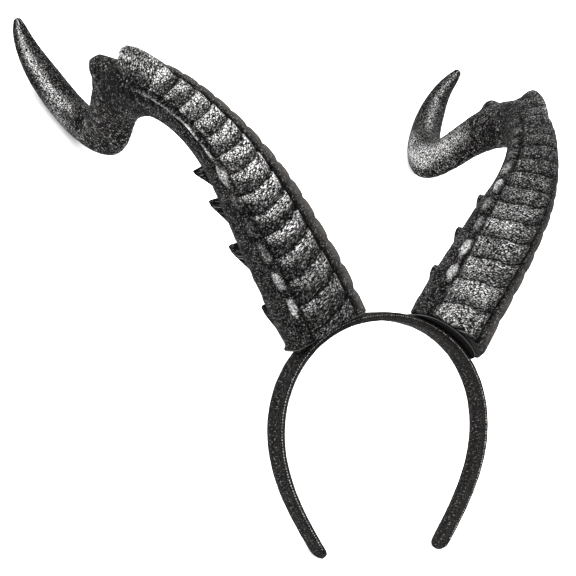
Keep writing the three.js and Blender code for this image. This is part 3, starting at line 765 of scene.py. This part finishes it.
def pad_material():
    m, t, b = new_material("pad_felt")
    n = Net(t)
    co = n.field("weave", True)
    fuzz = n.noise(co, 1.6, 4.0, 0.7)
    edge = n.field("edge")
    base = n.mix(n.ramp(fuzz, 0.3, 0.7), (0.0012, 0.0012, 0.0012), (0.0055, 0.0053, 0.0052))
    # painted highlight along the pad's rim
    base = n.mix(n.math("MULTIPLY", edge, n.ramp(fuzz, 0.25, 0.65, 0.5, 1.0)), base, (0.16, 0.155, 0.15))
    n.put(b.inputs["Base Color"], base)
    n.put(b.inputs["Roughness"], n.ramp(fuzz, 0.2, 0.8, 0.8, 0.6))
    b.inputs["Specular IOR Level"].default_value = 0.03
    n.put(b.inputs["Normal"], n.bump(fuzz, 0.5, 0.0003))
    return m


# ---- horns ---------------------------------------------------------------------------------
HORN_LOOK = horn_material()
for name, side in (("horn_left", -1), ("horn_right", 1)):
    pts, faces, fields = horn_mesh(side)
    ob = mesh_object("foam_" + name, pts, faces, fields)
    ob.data.materials.append(HORN_LOOK)
    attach(ob, "root")
    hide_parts(name)


# ---- band ----------------------------------------------------------------------------------
def band_mesh():
    end = BAND_END_ROUND / float(band_at(BAND_HALF_ANGLE)[4])
    inner = BAND_HALF_ANGLE - end
    t = spread(-BAND_HALF_ANGLE + 1e-5, BAND_HALF_ANGLE - 1e-5, 420, lambda a: 1 + 6 * smooth(np.abs(a), inner - 0.02, inner) + 14 * smooth(np.abs(a), BAND_HALF_ANGLE - 0.02, BAND_HALF_ANGLE))
    x, z, nx, nz, pace = band_at(t)
    length = np.concatenate([[0], np.cumsum(np.hypot(np.diff(x), np.diff(z)))])
    e = np.clip((np.abs(t) - inner) / end, 0, 1)
    half = np.sqrt(np.maximum(1 - e**2, 0)) * BAND_WIDTH / 2
    ht = band_half(t)
    # rounded rectangle: angle round the section
    ring = np.linspace(0, 2 * np.pi, 56, endpoint=False)
    c, s = np.cos(ring), np.sin(ring)
    pw = 0.30
    sy, so = np.sign(c) * np.abs(c) ** pw, np.sign(s) * np.abs(s) ** pw
    hw = np.maximum(half, 0.5)[:, None]
    th = (ht * np.minimum(1, 0.25 + 0.75 * np.sqrt(np.maximum(1 - e**4, 0))))[:, None]
    yy, oo = hw * sy[None, :], th * so[None, :]
    w = np.stack([np.broadcast_to(length[:, None], yy.shape), np.broadcast_to((np.arctan2(s, c) * 9.0)[None, :], yy.shape), 0 * yy], -1)
    # soft swell of the cover, a seam line near the front edge and faint creases
    grow = 0.14 * (1 - (yy / hw) ** 2) * np.sign(oo) * (np.abs(so)[None, :] > 0.7)
    crease = 0.22 * (cloud(w * (1.0, 0.5, 1.0), 5.0, 41) - 0.5) + 0.12 * (cloud(w, 1.8, 42) - 0.5)
    seam = -0.22 * bell(yy + hw, 1.1, 0.35) * (np.abs(so)[None, :] > 0.9)
    out = grow + np.sign(oo) * (crease + seam) * np.minimum(1, np.abs(oo) / 0.8)
    oo = oo + out
    yy = yy + np.sign(yy) * 0.10 * (cloud(w, 4.0, 43) - 0.5) * (np.abs(sy)[None, :] > 0.9)
    P = np.stack([x[:, None] + nx[:, None] * oo, BAND_WIDTH / 2 + yy, z[:, None] + nz[:, None] * oo], -1)
    nr, nc = yy.shape
    pts = P.reshape(-1, 3)
    faces = grid_faces(nr, nc)
    a, b = len(pts), len(pts) + 1
    pts = np.vstack([pts, P[0].mean(0)[None], P[-1].mean(0)[None]])
    for j in range(nc):
        k = (j + 1) % nc
        faces.append([k, j, a])
        faces.append([(nr - 1) * nc + j, (nr - 1) * nc + k, b])
    # painted reflection: a faint brownish tint of bounced light on the inner face
    inner_bounce = (so[None, :] < -0.5) * np.ones_like(yy)
    fields = {"weave": np.vstack([w.reshape(-1, 3), w[0, :1], w[-1, :1]]), "inner_bounce": np.concatenate([inner_bounce.ravel(), [0, 0]])}
    return pts, facing_out(pts - pts.mean(0), faces), fields, (t, length, inner)


BAND_LOOK = band_material()
pts, faces, fields, (band_t, band_len, band_inner) = band_mesh()
band = mesh_object("fabric_band", pts, faces, fields)
band.data.materials.append(BAND_LOOK)
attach(band, "root")
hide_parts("band")


# seam: a row of short stitches along the front edge
def stitches():
    pts, faces, weave, lit = [], [], [], []
    sides, rings = 7, 6
    pitch, long_, thick = 1.45, 0.95, 0.24
    lo = float(np.interp(-band_inner, band_t, band_len))
    hi = float(np.interp(band_inner, band_t, band_len))
    count = int((hi - lo) / pitch)
    for i in range(count):
        r1, r2, r3 = (float(lattice(np.int64(i), np.int64(k), np.int64(9), 51)) for k in (1, 2, 3))
        s0 = lo + (i + 0.5 + 0.25 * (r1 - 0.5)) * pitch
        t = float(np.interp(s0, band_len, band_t))
        x, z, nx, nz, _ = (float(v) for v in band_at(t))
        tx, tz = nz, -nx
        slant = 0.25 * (r2 - 0.5)
        crown = 1 - float(smooth(abs(t), 0.3, 0.8))
        up = 0.25 + 0.4 * crown
        mid = np.array([x + nx * up, -0.02, z + nz * up])
        along = np.array([tx + nx * slant, 0.0, tz + nz * slant])
        along /= np.linalg.norm(along)
        outv = np.array([0.0, -1.0, 0.0])
        acr = np.cross(along, outv)
        half = long_ / 2 * (0.85 + 0.3 * r3)
        start = len(pts)
        for k in range(rings):
            f = -1 + 2 * k / (rings - 1)
            rad = thick * max(0.25, math.sqrt(max(0, 1 - f * f * 0.95)))
            hump = 0.10 * (1 - f * f)
            for j in range(sides):
                q = 2 * math.pi * j / sides
                pts.append(mid + along * f * half + outv * (hump + rad * math.cos(q)) + acr * rad * math.sin(q))
                weave.append((s0 + f * half, q, i * 3.1))
                lit.append(1 - crown * (0.35 + 0.5 * r1))
        for k in range(rings - 1):
            for j in range(sides):
                n = (j + 1) % sides
                a = start + k * sides
                faces.append([a + j, a + n, a + sides + n, a + sides + j])
        faces.append(list(range(start + sides - 1, start - 1, -1)))
        last = start + (rings - 1) * sides
        faces.append(list(range(last, last + sides)))
    return np.array(pts), faces, {"weave": np.array(weave), "lit": np.array(lit)}


pts, faces, fields = stitches()
seam = mesh_object("band_seam_stitches", pts, faces, fields)
seam.data.materials.append(thread_material())
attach(seam, "root")


# ---- pads ----------------------------------------------------------------------------------
PAD_FRONT, PAD_BACK, PAD_IN, PAD_OUT = -6.0, 15.5, 16.5, 26.5


def pad_mesh(side):
    """Flat felt pad with rounded edges, between a horn's base and the band."""
    mid_y, half_y = (PAD_FRONT + PAD_BACK) / 2, (PAD_BACK - PAD_FRONT) / 2
    mid_e, half_e = (PAD_OUT - PAD_IN) / 2, (PAD_OUT + PAD_IN) / 2
    ring = np.linspace(0, 2 * np.pi, 120, endpoint=False)
    c, s = np.cos(ring), np.sin(ring)
    ce, sy = np.sign(c) * np.abs(c) ** 0.5, np.sign(s) * np.abs(s) ** 0.5
    rows = []
    r = PAD_THICK / 2
    levels = np.linspace(-math.pi / 2, math.pi / 2, 11)
    for scale in (0.0001, 0.3, 0.6, 0.85):
        rows.append((scale, -r, 0.0))
    for q in levels:
        rows.append((None, r * math.sin(q), r * math.cos(q)))
    for scale in (0.85, 0.6, 0.3, 0.0001):
        rows.append((scale, r, 0.0))
    P, W, E = [], [], []
    for scale, o, bulge in rows:
        if scale is None:
            e, y = mid_e + ce * (half_e - r + bulge), mid_y + sy * (half_y - r + bulge)
            # painted highlight: a light grey line round the pad's rounded rim
            hot = 0.9 * (bulge / r) ** 14
        else:
            e, y = mid_e + ce * (half_e - r) * scale, mid_y + sy * (half_y - r) * scale
            hot = 0.0
        up = PAD_LOW + r + o - sag(e, side)
        x, z = BX + BNZ * e + BNX * up, BZ - BNX * e + BNZ * up
        P.append(np.stack([x * side, y, z], -1))
        W.append(np.stack([e, y, up], -1))
        E.append(np.full(len(e), hot))
    P = np.array(P)
    nr, nc = P.shape[:2]
    pts = P.reshape(-1, 3)
    faces = grid_faces(nr, nc)
    a, b = len(pts), len(pts) + 1
    pts = np.vstack([pts, P[0].mean(0)[None], P[-1].mean(0)[None]])
    for j in range(nc):
        k = (j + 1) % nc
        faces.append([k, j, a])
        faces.append([(nr - 1) * nc + j, (nr - 1) * nc + k, b])
    W = np.array(W).reshape(-1, 3)
    fields = {"weave": np.vstack([W, W[:1], W[-1:]]), "edge": np.concatenate([np.array(E).ravel(), [0, 0]])}
    return pts, facing_out(pts - pts.mean(0), faces), fields


PAD_LOOK = pad_material()
for name, side in (("horn_pad_left", -1), ("horn_pad_right", 1)):
    pts, faces, fields = pad_mesh(side)
    ob = mesh_object("felt_" + name, pts, faces, fields)
    ob.data.materials.append(PAD_LOOK)
    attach(ob, "root")
    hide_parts(name)


# ---- floor and light -----------------------------------------------------------------------
m, t, b = new_material("pale_floor")
n = Net(t)
tc = t.nodes.new("ShaderNodeTexCoord")
patch = n.noise(tc.outputs["Object"], 6.0, 3.0)
n.put(b.inputs["Base Color"], n.mix(patch, (0.95, 0.95, 0.95), (0.97, 0.97, 0.97)))
n.put(b.inputs["Roughness"], n.ramp(patch, 0.2, 0.8, 0.55, 0.7))
b.inputs["Emission Color"].default_value = (1.0, 1.0, 1.0, 1.0)
b.inputs["Emission Strength"].default_value = 0.30  # a faintly lit table, so that shadows stay pale
floor_mesh = bpy.data.meshes.new("floor")
floor_mesh.from_pydata([(-4, -4, 0), (4, -4, 0), (4, 4, 0), (-4, 4, 0)], [], [(0, 1, 2, 3)])
floor_mesh.materials.append(m)
floor = bpy.data.objects.new("floor", floor_mesh)
floor.location.z = -0.0004
bpy.context.scene.collection.objects.link(floor)


def area_light(name, where, aim, size, power):
    data = bpy.data.lights.new(name, "AREA")
    data.shape, data.size, data.energy = "DISK", size, power
    ob = bpy.data.objects.new(name, data)
    ob.location = where
    ob.rotation_euler = (Vector(aim) - Vector(where)).to_track_quat("-Z", "Y").to_euler()
    bpy.context.scene.collection.objects.link(ob)


area_light("key", (0.95, 0.45, 0.80), (0.0, 0.02, 0.06), 0.8, 14.0)
area_light("fill", (-0.60, 0.15, 1.20), (0.0, 0.0, 0.05), 0.9, 22.0)
area_light("top", (0.25, -0.1, 1.5), (0.0, 0.0, 0.05), 1.4, 20.0)

world = bpy.data.worlds.new("studio")
world.use_nodes = True
world.node_tree.nodes["Background"].inputs[0].default_value = (1.0, 1.0, 1.0, 1.0)
world.node_tree.nodes["Background"].inputs[1].default_value = 0.80
bpy.context.scene.world = world
bpy.context.scene.view_settings.view_transform = "Standard"

# ---- end -----------------------------------------------------------------------------------
bpy.context.view_layer.update()
